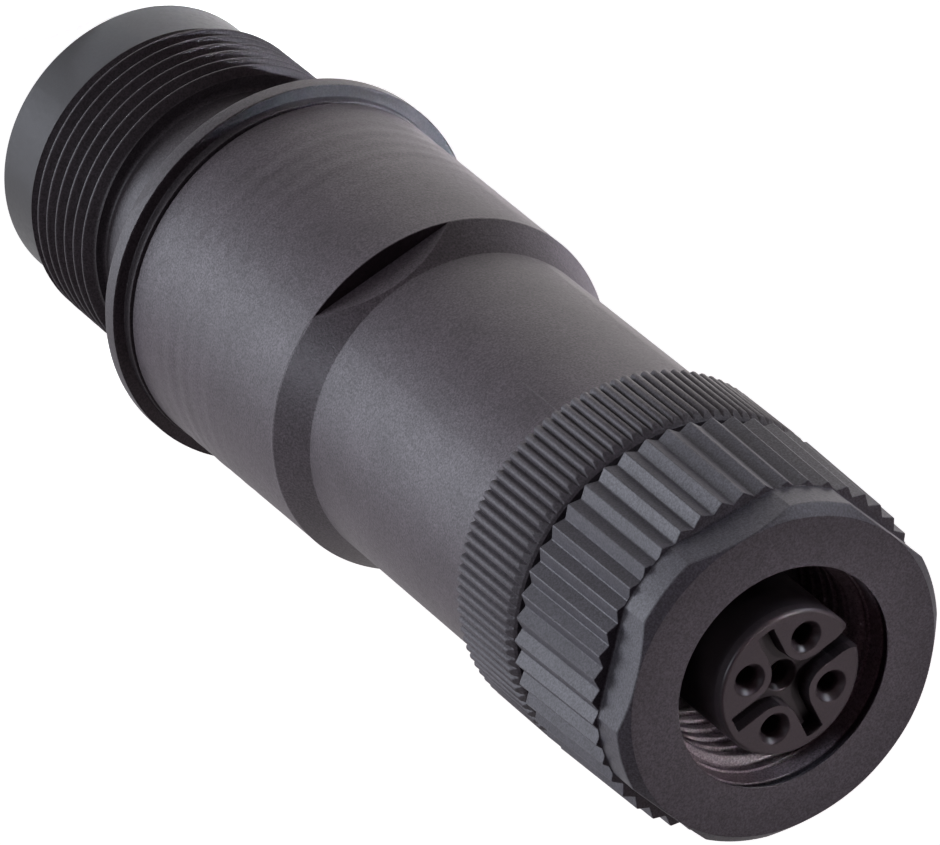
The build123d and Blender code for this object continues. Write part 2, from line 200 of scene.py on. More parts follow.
def finish_mesh(name, mesh, sharp=40.0):
    """An object from a mesh: welded, outward normals, smooth but for edges sharper than an angle."""
    weld = 0.0004 * MM
    work = bmesh.new()
    work.from_mesh(mesh)
    bmesh.ops.remove_doubles(work, verts=work.verts, dist=weld)
    bmesh.ops.dissolve_degenerate(work, edges=work.edges, dist=weld / 2)
    bmesh.ops.recalc_face_normals(work, faces=work.faces)
    for face in work.faces:
        face.smooth = True
    work.to_mesh(mesh)
    work.free()
    mesh.set_sharp_from_angle(angle=math.radians(sharp))
    piece = bpy.data.objects.new(name, mesh)
    bpy.context.scene.collection.objects.link(piece)
    weighted = piece.modifiers.new("even_shading", "WEIGHTED_NORMAL")
    weighted.keep_sharp = True
    return piece


def ringed_piece(name, rings, angles, sharp=40.0, thread=None):
    """A bored piece: rings of (radius, height) pairs, one for each angle, the last joined to the first.

    The rings of a thread, given as its first ring, last ring and rings in a turn, close one turn on.
    """
    count = len(angles)
    arms = [(math.cos(angle) * MM, math.sin(angle) * MM) for angle in angles]
    vertices = []
    for ring in rings:
        for (radius, height), (east, north) in zip(ring, arms):
            vertices.append((radius * east, radius * north, height * MM))
    first, last, step = thread or (0, -1, 0)

    def closing(ring):
        """First vertex of the ring that this one runs into after a full turn."""
        if not first <= ring <= last:
            return ring * count
        return min(max(ring + step, first), last) * count

    faces = []
    for low in range(len(rings)):
        high = (low + 1) % len(rings)
        for index in range(count - 1):
            faces.append((low * count + index, low * count + index + 1,
                          high * count + index + 1, high * count + index))
        corners = [low * count + count - 1, closing(low), closing(high), high * count + count - 1]
        if first <= low <= last and closing(low) == closing(high):
            corners.pop(2)
        elif high == first and step > 0:
            corners.insert(2, first * count)
        elif low == last and step < 0:
            corners.insert(2, last * count)
        faces.append(corners)
    mesh = bpy.data.meshes.new(name)
    mesh.from_pydata(vertices, [], faces)
    return finish_mesh(name, mesh, sharp)


# One turn of thread outside and inside: shares of the pitch, and of the depth above the root
outer_thread_shares = (
    (0.06, 0.0), (0.13, 0.06), (0.20, 0.22), (0.39, 0.86), (0.44, 0.97), (0.47, 1.0),
    (0.53, 1.0), (0.56, 0.97), (0.61, 0.86), (0.80, 0.22), (0.87, 0.06), (0.94, 0.0),
)
inner_thread_shares = (
    (0.02, 0.0), (0.06, 0.08), (0.10, 0.25), (0.21, 0.85), (0.25, 0.96), (0.30, 1.0),
    (0.70, 1.0), (0.75, 0.96), (0.79, 0.85), (0.90, 0.25), (0.94, 0.08), (0.98, 0.0),
)


def thread_share(turns, profile):
    """Height share of a thread's profile at a number of turns along it."""
    phases = [phase for phase, _ in profile]
    shares = [share for _, share in profile]
    return float(np.interp(turns % 1.0, phases, shares, left=0.0, right=0.0))


def thread_rings(low, high, root, height, angles, profile, limit, start=0.0):
    """Rings of a right-hand helical thread from low to high, cut by a limit on its radius at a height.

    The start, under one turn, says how far below the low end the thread's first turn begins.
    """
    turns = math.ceil((high - low) / thread_pitch)
    rings = []
    for turn in range(-1, turns + 1):
        for phase, _ in profile:
            ring = []
            for angle in angles:
                share = angle / (2 * math.pi) - start
                place = low + (turn + phase + share) * thread_pitch
                place = min(max(place, low), high)
                along = (place - low) / thread_pitch - share
                ring.append((limit(root + height * thread_share(along, profile), place), place))
            rings.append(ring)
    return rings


def ragged(angle, size):
    """A small uneven offset round an edge, the same each run."""
    waves = ((37, 0.5), (83, 0.9), (131, 2.1), (193, 4.0), (271, 1.3))
    return size * sum(math.sin(count * angle + start) for count, start in waves) / len(waves)


def make_bushing():
    """Rear thread, neck, flange with its rough moulded edge, and the shoulder before the parting line."""
    angles = circle_angles(360)
    count = len(angles)
    rear_face = 0.5
    thread_step = 0.02
    neck_rear_round = 0.25
    neck_front_round = 0.2
    flange_round = 0.14
    chamfer = 0.06
    rough_size = 0.045
    shoulder_foot_round = 0.05
    shoulder_round = 0.06
    thread_root = thread_crest - thread_depth
    inner_shoulder = shoulder_high + end_gap

    def limit(radius, height):
        """Chamfers both ends of the thread."""
        radius = min(radius, tail_radius + thread_step + (height - thread_low))
        return min(radius, thread_land_radius + (thread_high - height))

    rear = [
        (spigot_bore, bushing_top),
        (spigot_bore, inner_shoulder),
        (cable_radius, inner_shoulder),
        (cable_radius, gland_shoulder),
        (gland_radius, gland_shoulder),
        (gland_radius, thread_low),
        (tail_radius - rear_face, thread_low),
    ]
    front = rounded([
        (thread_root - chamfer, thread_high),
        (neck_radius, thread_high, neck_rear_round),
        (neck_radius, flange_low, neck_front_round),
        (flange_radius, flange_low, flange_round),
        (flange_radius, flange_high - chamfer),
    ])
    # Over the flange's front edge: shares of the chamfer inward and down, and whether each is rough
    edge_steps = ((0.0, 0.5, 0, 1), (0.35, 0.12, 1, 1), (1.0, 0.0, 1, 0))
    edge = []
    for inward, down, rough_in, rough_down in edge_steps:
        ring = []
        for angle in angles:
            radius = flange_radius - chamfer * inward - rough_in * abs(ragged(angle, rough_size))
            height = flange_high - chamfer * down - rough_down * abs(ragged(angle + 1.0, rough_size))
            ring.append((radius, height))
        edge.append(ring)
    top = rounded([
        (flange_radius - flange_round, flange_high),
        (shoulder_radius, flange_high, shoulder_foot_round),
        (shoulder_radius, shoulder_high, shoulder_round),
        (spigot_radius, shoulder_high),
        (spigot_radius, bushing_top),
    ])
    rings = even_rings(rear, count)
    first = len(rings)
    profile = outer_thread_shares
    rings += thread_rings(thread_low, thread_high, thread_root, thread_depth, angles, profile, limit,
                          thread_start)
    thread = (first, len(rings) - 1, len(profile))
    rings += even_rings(front, count)
    rings += edge
    rings += even_rings(top, count)
    return ringed_piece("bushing_look", rings, angles, thread=thread)


def make_sleeve():
    """The smooth satin end, with soft edges and the bore for the cable."""
    bore_round = 0.25
    rim_round = 0.22
    inner_round = 0.1
    inner_radius = gland_radius - fit_gap
    outline = rounded([
        (sleeve_bore_radius, tail_low, bore_round),
        (tail_radius, tail_low, rim_round),
        (tail_radius, tail_low + tail_length),
        (inner_radius, tail_low + tail_length),
        (inner_radius, sleeve_top, inner_round),
        (sleeve_bore_radius, sleeve_top, inner_round),
    ], steps=6, closed=True)
    angles = circle_angles(256)
    return ringed_piece("sleeve_look", even_rings(outline, len(angles)), angles)


def flat_radius(angle):
    """Distance from the axis to the plane of a wrench flat in a direction, far out beside the flats."""
    least = 0.5
    return flat_distance / max(abs(math.sin(angle)), least)


def flat_end(angle):
    """Height at which the wrench flat runs out on the cone, in a direction."""
    share = (grip_front_radius - flat_radius(angle)) / (grip_front_radius - front_radius)
    return cone_low + cone_length * min(max(share, 0.0), 1.0)


def cone_radius(height):
    """Radius of the cone between the larger part of the housing and its front part."""
    return grip_front_radius + (front_radius - grip_front_radius) * (height - cone_low) / cone_length


def shrinkage(angle, height):
    """Uneven waves of shrinkage in the housing's surface, between -1.6 and 1.6, the same each run."""
    period = 1.35
    wide_period = 1.7 * period
    wander = 0.35 * math.sin(2 * angle + 0.8) + 0.2 * math.sin(5 * angle)
    wave = math.sin(2 * math.pi * (height / period + wander * 0.3))
    return wave + 0.6 * math.sin(2 * math.pi * height / wide_period + 3 * math.sin(angle))


def grip_rings(angles):
    """The larger part of the housing, with faint rings of shrinkage that fade out towards its front."""
    edge = 0.16
    ring_height = 0.011
    swell_middle = 4.0
    swell_reach = 4.5
    ring_steps = 120
    # The last corner only gives the direction of the one before
    outline = rounded([
        (grip_radius - 1.0, shell_low),
        (grip_radius, shell_low, edge),
        (grip_radius - 0.01, shell_low + 0.6),
    ])[:-1]
    rings = even_rings(outline, len(angles))
    first = shell_low + edge + soft_edge
    last = cone_low - edge
    for step in range(ring_steps + 1):
        height = first + (last - first) * (step / ring_steps)
        swell = math.exp(-((height - shell_low - swell_middle) / swell_reach) ** 2)
        radius = grip_radius + (grip_front_radius - grip_radius) * (height - shell_low) / grip_length
        rings.append([(radius + ring_height * (swell * shrinkage(angle, height) - 1.0), height)
                      for angle in angles])
    return rings


def cone_rings(angles):
    """The edge of the larger part, the wrench flats, and the cone."""
    flat_steps = 6
    cone_steps = 8
    cone_round = 0.12
    cone_start = cone_low + 0.6 * soft_edge
    cone_end = cone_high - 0.08
    rings = even_rings([
        (grip_front_radius, cone_low - soft_edge),
        (grip_front_radius - 0.3 * soft_edge, cone_low - 0.3 * soft_edge),
    ], len(angles))
    for step in range(flat_steps + 1):
        ring = []
        for angle in angles:
            reach = flat_radius(angle)
            height = cone_low + (flat_end(angle) - cone_low) * (step / flat_steps)
            if reach >= grip_front_radius - soft_edge:
                height = max(height, cone_start)
                reach = min(reach, cone_radius(height))
            ring.append((reach, height))
        rings.append(ring)
    for step in range(1, cone_steps):
        ring = []
        for angle in angles:
            start = max(flat_end(angle), cone_start)
            height = start + (cone_end - start) * (step / cone_steps)
            ring.append((cone_radius(height), height))
        rings.append(ring)
    # The last corner only gives the direction of the one before
    return rings + even_rings(rounded([
        (cone_radius(cone_end), cone_end),
        (front_radius, cone_high, cone_round),
        (front_radius, cone_high + 1.0),
    ])[:-1], len(angles))


def make_shell():
    """The long housing: larger part, two wrench flats, cone, and front part with a mould line."""
    line_sides = (-90.7, 89.3)
    line_half = 0.22
    line_foot = 0.5
    line_height = 0.016
    line_low = 46.0
    line_rise = 0.6
    front_steps = 48
    front_start = cone_high + 0.2

    offsets = (-line_foot, -line_half, 0.0, line_half, line_foot)
    line_angles = [math.radians(side + offset) for side in line_sides for offset in offsets]
    angles = sorted(circle_angles(288) + [angle % (2 * math.pi) for angle in line_angles])
    rings = grip_rings(angles) + cone_rings(angles)
    for step in range(1, front_steps + 1):
        height = front_start + (shell_top - front_start) * (step / front_steps)
        line = line_height * min(max((height - line_low) / line_rise, 0.0), 1.0)
        ring = []
        for angle in angles:
            nearest = min(abs((math.degrees(angle) - side + 180) % 360 - 180) for side in line_sides)
            ring.append((front_radius + max(0.0, 1 - nearest / line_half) * line, height))
        rings.append(ring)
    rings += even_rings([
        (collar_spigot_radius + fit_gap, shell_top),
        (collar_spigot_radius + fit_gap, spigot_low - end_gap),
        (chamber_radius, spigot_low - end_gap),
        (chamber_radius, bushing_top + end_gap),
        (spigot_radius + fit_gap, bushing_top + end_gap),
        (spigot_radius + fit_gap, shell_low),
    ], len(angles))
    return ringed_piece("shell_look", rings, angles, sharp=25.0)


# One rib of the collar: shares of a pitch, and of the rib's height
rib_profile_shares = (
    (0.0, 0.0), (0.05, 0.10), (0.14, 0.48), (0.24, 0.80), (0.36, 0.96),
    (0.50, 1.0), (0.64, 0.96), (0.76, 0.80), (0.86, 0.48), (0.95, 0.10),
)


def make_collar():
    """The ring of fine ribs, with pointed rib ends in front and a smooth lip."""
    valley = rib_radius - rib_depth
    rib_high = collar_top - lip_length
    lead_steps = 8
    lip_step = 0.02
    lip_round = 0.1
    spigot_round = 0.15
    spigot_step = 0.2
    angles = []
    heights = []
    for index in range(rib_count):
        for share, height in rib_profile_shares:
            angles.append(math.radians(rib_turn) + 2 * math.pi * (index + share) / rib_count)
            heights.append(height)
    count = len(angles)

    def ribbed(limit, place, inward=0.0):
        """A ring over the ribs, cut at a radius and then drawn inward."""
        return [(min(valley + rib_depth * height, limit) - inward, place) for height in heights]

    rings = even_rings([(collar_spigot_radius, collar_low)], count)
    rings.append(ribbed(rib_radius, collar_low, soft_edge))
    rings.append(ribbed(rib_radius, collar_low + 0.4 * soft_edge, 0.3 * soft_edge))
    rings.append(ribbed(rib_radius, collar_low + 1.2 * soft_edge))
    for step in range(lead_steps + 1):
        share = step / lead_steps
        rings.append(ribbed(rib_radius - rib_depth * share, rib_high - rib_lead * (1 - share)))
    rings += even_rings(rounded([
        (valley - lip_step, rib_high + lip_step),
        (valley - lip_length, collar_top),
        (journal_radius + fit_gap, collar_top, lip_round),
        (journal_radius + fit_gap, collar_top - collar_web),
        (carrier_radius + fit_gap, collar_top - collar_web),
        (carrier_radius + fit_gap, spigot_low),
        (collar_spigot_radius, spigot_low, spigot_round),
        (collar_spigot_radius, collar_low - spigot_step),
    ]), count)
    return ringed_piece("collar_look", rings, angles, sharp=35.0)


def nut_columns():
    """Angles of the nut's columns: the flutes' crests and valleys, and the edges of the hexagon's flats."""
    half = math.pi / flute_count
    blunt = math.radians(0.2)
    offsets = (-blunt, blunt, 0.5 * half, half - blunt, half + blunt, 1.5 * half)
    start = math.radians(flute_turn)
    angles = []
    for index in range(flute_count):
        crest = start + 2 * half * index
        angles += [crest + offset for offset in offsets]
    flat_half = math.acos(hex_flat_distance / hex_corner_radius)
    for corner in circle_angles(6):
        middle = math.radians(hex_turn + 30) + corner
        angles += [middle - flat_half, middle + flat_half]
    angles = sorted(angle % (2 * math.pi) for angle in angles)
    return [(angle, abs((angle - start + half) % (2 * half) - half)) for angle in angles]


def flute_radius(crest, turn):
    """Radius of a flat flute facet at a turn away from its crest."""
    half = math.pi / flute_count
    valley = crest - flute_depth
    return crest * valley * math.sin(half) / (crest * math.sin(turn) + valley * math.sin(half - turn))


def hex_radius(angle):
    """Radius of the hexagon with turned corners in a direction."""
    side = math.radians(60)
    turn = (angle - math.radians(hex_turn) + side / 2) % side - side / 2
    return min(hex_corner_radius, hex_flat_distance / math.cos(side / 2 - abs(turn)))


def make_nut():
    """The coupling nut: V flutes, hexagon with a chamfered front, lead-in and right-hand inner thread."""
    columns = nut_columns()
    angles = [angle for angle, _ in columns]
    turns = [turn for _, turn in columns]
    count = len(angles)
    pilot_high = nut_top - bore_lip - undercut_length
    pilot_low = pilot_high - pilot_length
    thread_end = pilot_low - 0.3
    web_top = nut_low + nut_web
    thread_root = nut_thread_crest + thread_depth
    thread_mouth = bore_radius - 0.14
    lead_slope = 0.9

    def fluted(share, inward, place):
        """A ring over the flutes, at a share of their taper, drawn inward."""
        crest = nut_radius - nut_taper * share
        return [(flute_radius(crest, turn) - inward, place) for turn in turns]

    def limit(radius, height):
        """Opens the thread towards the mouth of the bore."""
        return max(radius, thread_mouth - (thread_end - height) * lead_slope)

    rings = []
    for inward, up in ((1.0, 0.0), (0.3, 0.3), (0.0, 1.0)):
        rings.append(fluted(0.0, inward * soft_edge, nut_low + up * soft_edge))
    for inward, down in ((0.0, 1.0), (0.3, 0.3), (1.0, 0.0)):
        rings.append(fluted(1.0, inward * soft_edge, hex_low - down * soft_edge))

    hexagon = [hex_radius(angle) for angle in angles]
    crease = [nut_top - (radius - nut_face_radius) for radius in hexagon]
    # Outward and up from the foot of the hexagon
    for outward, up in ((0.08, 0.0), (0.02, 0.03), (0.0, 0.1)):
        rings.append([(radius + outward, hex_low + up) for radius in hexagon])
    rings.append([(radius, place - soft_edge) for radius, place in zip(hexagon, crease)])
    rings.append([(radius - 0.24 * soft_edge, min(place - 0.3 * soft_edge, nut_top))
                  for radius, place in zip(hexagon, crease)])
    ring = []
    for radius, place in zip(hexagon, crease):
        radius = max(radius - 0.6 * soft_edge, nut_face_radius)
        ring.append((radius, min(place + 0.6 * soft_edge, nut_top - 0.4 * soft_edge)))
    rings.append(ring)

    face_round = 0.02
    rim = 0.1
    band = 0.7
    rings += even_rings(rounded([
        (nut_face_radius + face_round, nut_top - face_round),
        (nut_face_radius, nut_top, face_round),
        (nut_face_radius - rim, nut_top),
        (nut_face_radius - band, nut_top),
        (bore_radius + band, nut_top),
        (bore_radius + rim, nut_top),
        (bore_radius, nut_top, 0.05),
        (bore_radius, nut_top - bore_lip, 0.03),
        (bore_radius + undercut_depth, nut_top - bore_lip),
        (bore_radius + undercut_depth, pilot_high),
        (bore_radius, pilot_high, 0.06),
        (bore_radius, pilot_low, 0.05),
        (thread_mouth, pilot_low, 0.04),
        (thread_mouth, pilot_low - 0.25),
    ])[1:], count)

    profile = inner_thread_shares
    inner = thread_rings(web_top + end_gap, thread_end, thread_root, -thread_depth, angles, profile, limit)
    inner.reverse()
    first = len(rings)
    rings += inner
    thread = (first, len(rings) - 1, -len(profile))
    rings += even_rings([
        (thread_root, web_top + face_round),
        (thread_root, web_top),
        (journal_radius + fit_gap, web_top),
        (journal_radius + fit_gap, nut_low),
    ], count)
    return ringed_piece("nut_look", rings, angles, sharp=14.0, thread=thread)


def smooth_step(distance, width):
    """0 outside a form and 1 inside it, over a narrow wall, from a signed distance."""
    share = np.clip(0.5 - distance / width, 0.0, 1.0)
    return share * share * (3 - 2 * share)


def insert_height(east, north):
    """Height of the coding face above the insert's face, with the key along +east."""
    wall = 0.07
    rim = 0.2
    reach = np.hypot(east, north)
    quarter = math.sqrt(0.5) * pin_circle_radius
    lobes = np.hypot(np.abs(east) - quarter, np.abs(north) - quarter)
    field = np.maximum(reach - quarter, lobe_radius - lobes)
    half = slot_width / 2
    beside_key = np.abs(north) - half
    slots = np.maximum(beside_key, np.abs(east) - slot_reach)
    slots = np.minimum(slots, np.maximum(np.abs(east) - half, np.abs(north) - slot_reach))
    slots = np.minimum(slots, np.maximum(beside_key, np.abs(east - insert_radius) - slot_reach / 2))
    recess = smooth_step(np.minimum(field, slots), wall)
    flare_start = insert_radius - key_flare_length
    flare = key_flare * np.clip((east - flare_start) / key_flare_length, 0.0, 1.0) ** 3
    key = smooth_step(np.maximum(np.abs(north) - half - flare, pin_circle_radius - east), wall)
    floor = -recess_depth * recess
    floor = np.minimum(floor, -key_depth * key)
    edge = insert_radius - reach
    drop = rim - np.sqrt(np.maximum(rim ** 2 - (rim - edge) ** 2, 0.0))
    floor = floor - np.where(edge < rim, drop, 0.0)
    return hole_height(hole_height(floor, lobes), reach)


def hole_height(surface, distance):
    """Sinks a contact hole with a conical mouth into a surface, round one centre."""
    wall = 0.05
    cone = -mouth_depth * np.clip((mouth_radius - distance) / (mouth_radius - hole_radius), 0.0, 1.0)
    bore = -hole_depth * smooth_step(distance - hole_radius, wall)
    return surface + np.minimum(cone, bore)


def make_insert():
    """The contact carrier: its coding face as a fine relief, its journal and its flange."""
    ring_count = 100
    column_count = 600
    turn = math.radians(key_angle)
    centre = np.array(0.0)
    vertices = [(0.0, 0.0, (face_height + float(insert_height(centre, centre))) * MM)]
    directions = np.array(circle_angles(column_count))
    arms = [(math.cos(angle + turn) * MM, math.sin(angle + turn) * MM) for angle in directions]
    for ring in range(1, ring_count + 1):
        reach = insert_radius * ring / ring_count
        heights = insert_height(reach * np.cos(directions), reach * np.sin(directions))
        for (east, north), height in zip(arms, heights):
            vertices.append((reach * east, reach * north, (face_height + float(height)) * MM))
    below = (
        (insert_radius, seat_height),
        (journal_radius, seat_height),
        (journal_radius, carrier_flange_top),
        (carrier_radius, carrier_flange_top),
        (carrier_radius, carrier_low),
    )
    for radius, height in below:
        vertices += [(radius * east, radius * north, height * MM) for east, north in arms]
    rows = ring_count + len(below)
    faces = [(0, 1 + index, 1 + (index + 1) % column_count) for index in range(column_count)]
    for row in range(rows - 1):
        start = 1 + row * column_count
        for index in range(column_count):
            following = (index + 1) % column_count
            faces.append((start + index, start + column_count + index,
                          start + column_count + following, start + following))
    last = 1 + (rows - 1) * column_count
    faces.append([last + index for index in reversed(range(column_count))])
    mesh = bpy.data.meshes.new("insert_look")
    mesh.from_pydata(vertices, [], faces)
    return finish_mesh("insert_look", mesh, sharp=60.0)


# Pattern sizes and bump depths of moulded plastic, in millimetres
mottle_size = 2.4
speck_size = 0.3
grain_depth = 0.02
speck_depth = 0.03


def new_material(name):
    """An empty node material with its Principled shader."""
    material = bpy.data.materials.new(name)
    material.use_nodes = True
    return material, material.node_tree, material.node_tree.nodes["Principled BSDF"]


def noise(tree, coordinates, scale, detail=3.0, roughness=0.5):
    """A noise texture node on given coordinates."""
    node = tree.nodes.new("ShaderNodeTexNoise")
    node.inputs["Scale"].default_value = scale
    node.inputs["Detail"].default_value = detail
    node.inputs["Roughness"].default_value = roughness
    tree.links.new(coordinates, node.inputs["Vector"])
    return node


def multiplied(tree, colour, factor=1.0):
    """A mix node that multiplies a colour, by a share that is a number or an output."""
    node = tree.nodes.new("ShaderNodeMix")
    node.data_type = "RGBA"
    node.blend_type = "MULTIPLY"
    if isinstance(factor, float):
        node.inputs["Factor"].default_value = factor
    else:
        tree.links.new(factor, node.inputs["Factor"])
    tree.links.new(colour, node.inputs["A"])
    return node


def bumped(tree, pattern, depth, strength):
    """A bump node that raises a pattern by a depth, in millimetres."""
    node = tree.nodes.new("ShaderNodeBump")
    node.inputs["Strength"].default_value = strength
    node.inputs["Distance"].default_value = depth * MM
    tree.links.new(pattern, node.inputs["Height"])
    return node


def ramp(tree, value, stops):
    """A colour ramp node between stops of (position, grey or colour)."""
    node = tree.nodes.new("ShaderNodeValToRGB")
    elements = node.color_ramp.elements
    while len(elements) < len(stops):
        elements.new(0.5)
    for element, (position, colour) in zip(elements, stops):
        element.position = position
        element.color = (*colour, 1.0) if hasattr(colour, "__len__") else (colour, colour, colour, 1.0)
    tree.links.new(value, node.inputs["Fac"])
    return node


def plastic(name, colour, roughness=0.52, grain=1.0, mottle=0.1, grain_size=0.11, specular=0.5,
            speckle=0.45):
    """Moulded plastic: mottled and speckled colour, fine grain in the surface and uneven gloss."""
    material, tree, shader = new_material(name)
    place = tree.nodes.new("ShaderNodeTexCoord").outputs["Object"]
    broad = noise(tree, place, 1 / (mottle_size * MM), 4.0)
    fine = noise(tree, place, 1 / (grain_size * MM), 2.0, 0.6)
    speck = noise(tree, place, 1 / (speck_size * MM), 3.0, 0.7)
    mixed = tree.nodes.new("ShaderNodeMix")
    mixed.data_type = "FLOAT"
    mixed.inputs["Factor"].default_value = 0.5
    tree.links.new(broad.outputs["Fac"], mixed.inputs["A"])
    tree.links.new(speck.outputs["Fac"], mixed.inputs["B"])
    low = [part * (1 - 2 * mottle) * (1 + speckle) for part in colour]
    high = [part * (1 + 2 * mottle) * (1 + speckle) for part in colour]
    tint = ramp(tree, mixed.outputs["Result"], ((0.3, low), (0.7, high)))
    dots = ramp(tree, fine.outputs["Fac"], ((0.35, (1 - speckle) / (1 + speckle)), (0.65, 1.0)))
    dotted = multiplied(tree, tint.outputs["Color"])
    tree.links.new(dots.outputs["Color"], dotted.inputs["B"])
    tree.links.new(dotted.outputs["Result"], shader.inputs["Base Color"])
    gloss = ramp(tree, speck.outputs["Fac"], ((0.3, roughness - 0.05), (0.7, roughness + 0.06)))
    tree.links.new(gloss.outputs["Color"], shader.inputs["Roughness"])
    small = bumped(tree, fine.outputs["Fac"], grain_depth, 0.35 * grain)
    wide = bumped(tree, speck.outputs["Fac"], speck_depth, 0.3 * grain)
    tree.links.new(small.outputs["Normal"], wide.inputs["Normal"])
    tree.links.new(wide.outputs["Normal"], shader.inputs["Normal"])
    shader.inputs["Specular IOR Level"].default_value = specular
    return material


def paint_light_and_shade_inside(material, radius, height, colour):
    """Multiplies a plastic's colour within a radius of the axis and below a height, in millimetres: painted
    light where the colour is above one, painted shade where it is below.
    """
    tree = material.node_tree
    shader = tree.nodes["Principled BSDF"]
    outside = shader.inputs["Base Color"].links[0].from_socket
    parts = tree.nodes.new("ShaderNodeSeparateXYZ")
    tree.links.new(tree.nodes.new("ShaderNodeTexCoord").outputs["Object"], parts.inputs[0])
    flat = tree.nodes.new("ShaderNodeCombineXYZ")
    tree.links.new(parts.outputs["X"], flat.inputs["X"])
    tree.links.new(parts.outputs["Y"], flat.inputs["Y"])
    reach = tree.nodes.new("ShaderNodeVectorMath")
    reach.operation = "LENGTH"
    tree.links.new(flat.outputs[0], reach.inputs[0])
    tests = []
    for value, bound in ((reach.outputs["Value"], radius), (parts.outputs["Z"], height)):
        test = tree.nodes.new("ShaderNodeMath")
        test.operation = "LESS_THAN"
        test.inputs[1].default_value = bound * MM
        tree.links.new(value, test.inputs[0])
        tests.append(test)
    within = tree.nodes.new("ShaderNodeMath")
    within.operation = "MULTIPLY"
    tree.links.new(tests[0].outputs[0], within.inputs[0])
    tree.links.new(tests[1].outputs[0], within.inputs[1])
    tinted = multiplied(tree, outside, within.outputs[0])
    tinted.inputs["B"].default_value = (*colour, 1.0)
    tree.links.new(tinted.outputs["Result"], shader.inputs["Base Color"])
    return material


def metal(name, colour, roughness):
    """Plated metal with faint drawing marks."""
    material, tree, shader = new_material(name)
    place = tree.nodes.new("ShaderNodeTexCoord").outputs["Object"]
    mark_size = 0.25
    marks = noise(tree, place, 1 / (mark_size * MM), 3.0, 0.6)
    tint = ramp(tree, marks.outputs["Fac"], ((0.3, [part * 0.85 for part in colour]), (0.7, colour)))
    tree.links.new(tint.outputs["Color"], shader.inputs["Base Color"])
    gloss = ramp(tree, marks.outputs["Fac"], ((0.3, roughness), (0.7, roughness + 0.12)))
    tree.links.new(gloss.outputs["Color"], shader.inputs["Roughness"])
    shader.inputs["Metallic"].default_value = 1.0
    return material


def rubber(name, colour):
    """Matt seal rubber with a fine skin."""
    return plastic(name, colour, roughness=0.7, grain=0.6, mottle=0.06, grain_size=0.16, specular=0.35)


def dress(piece, body, slot_name, material, *nodes):
    """Puts a new piece on its body and material in place of CAD nodes; the slot name is not used."""
    piece.data.materials.clear()
    piece.data.materials.append(material)
    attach(piece, body)
    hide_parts(*nodes)


def build_object():
    """Makes every visible piece and gives each CAD node that stays its own material."""
    housing = plastic("housing_plastic", (0.064, 0.053, 0.061), roughness=0.42, grain=1.8, mottle=0.14)
    # Painted shade: the colour of the wrench flats' end walls, at the foot of the flats, is darkened to
    # stand in for the shadow there.
    shaded_flat_wall = (grip_front_radius - soft_edge, cone_low + 0.6 * soft_edge)
    housing = paint_light_and_shade_inside(housing, *shaded_flat_wall, (0.25, 0.2, 0.22))
    nut = plastic("nut_plastic", (0.050, 0.048, 0.057), roughness=0.46, grain=1.4, mottle=0.1)
    # Painted light: the colour inside the bore, over the pilot and the inner thread, is raised more than
    # three times to stand in for light that falls into it.
    bore = (bore_radius + 2 * fit_gap, nut_top - bore_lip - undercut_length + 0.01)
    nut = paint_light_and_shade_inside(nut, *bore, (3.4, 3.1, 2.9))
    collar = plastic("collar_plastic", (0.048, 0.042, 0.048), roughness=0.58, mottle=0.08)
    bushing = plastic("bushing_plastic", (0.046, 0.040, 0.044), roughness=0.46, grain=1.5, mottle=0.12)
    sleeve = plastic("sleeve_plastic", (0.030, 0.030, 0.032), 0.34, grain=0.25, mottle=0.03, speckle=0.1)
    insert = plastic("insert_plastic", (0.028, 0.023, 0.026), 0.34, 0.35, 0.04, specular=0.42, speckle=0.15)
    # Painted shade: all of the insert below the height of the nut's face, its side and its deepest
    # recesses, is darkened to stand in for the nut's shadow on it.
    insert = paint_light_and_shade_inside(insert, journal_radius, nut_top, (0.35, 0.35, 0.35))
    block = plastic("block_plastic", (0.09, 0.088, 0.095))
    seal = rubber("seal_rubber", (0.05, 0.05, 0.052))
    gold = metal("contact_metal", (0.83, 0.62, 0.28), 0.25)
    spring = metal("spring_steel", (0.55, 0.55, 0.57), 0.3)
    screw = metal("screw_steel", (0.6, 0.6, 0.61), 0.35)

    dress(make_bushing(), "connector", "bushing_plastic", bushing, "threaded_bushing")
    dress(make_sleeve(), "connector", "sleeve_plastic", sleeve, "thrust_sleeve")
    dress(make_shell(), "connector", "housing_plastic", housing, "body_shell")
    dress(make_collar(), "connector", "collar_plastic", collar, "knurled_collar")
    dress(make_insert(), "connector", "insert_plastic", insert, "contact_carrier")
    dress(make_nut(), "nut", "nut_plastic", nut, "coupling_nut")

    kept = {
        "seal_washer": sleeve, "terminal_block": block, "nut_snap_ring": spring,
        "contact_springs": spring, "terminal_screws": screw,
    }
    kept.update({f"contact_{number}": gold for number in range(1, 6)})
    kept.update({name: seal for name in ("cable_seal", "bushing_seal", "collar_seal", "interface_seal")})
    for name, material in kept.items():
        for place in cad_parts[name].material_slots:
            place.material = material


